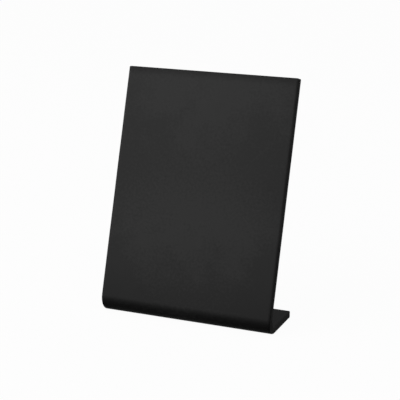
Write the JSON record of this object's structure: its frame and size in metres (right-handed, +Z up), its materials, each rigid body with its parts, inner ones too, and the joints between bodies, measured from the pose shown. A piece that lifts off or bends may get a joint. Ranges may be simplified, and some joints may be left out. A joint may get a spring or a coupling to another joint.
{
  "type": "tabletop chalkboard",
  "caption": "Small free-standing chalkboard: a matt black plastic sheet bent into a backward-leaning writing panel and a short flat foot behind it.",
  "frame": {"origin": "centre of the bounding box's base, on the surface that the board stands on", "axes": "+X across the board, to the right for someone who reads it; +Y from the writing face to the back; +Z up"},
  "size_m": [0.075, 0.033, 0.0998],
  "materials": {
    "sheet": "matt black writing surface with a very fine grain, on both faces and the cut edges"
  },
  "bodies": {
    "root": {"chalkboard_sheet": "sheet"}
  },
  "joints": []
}
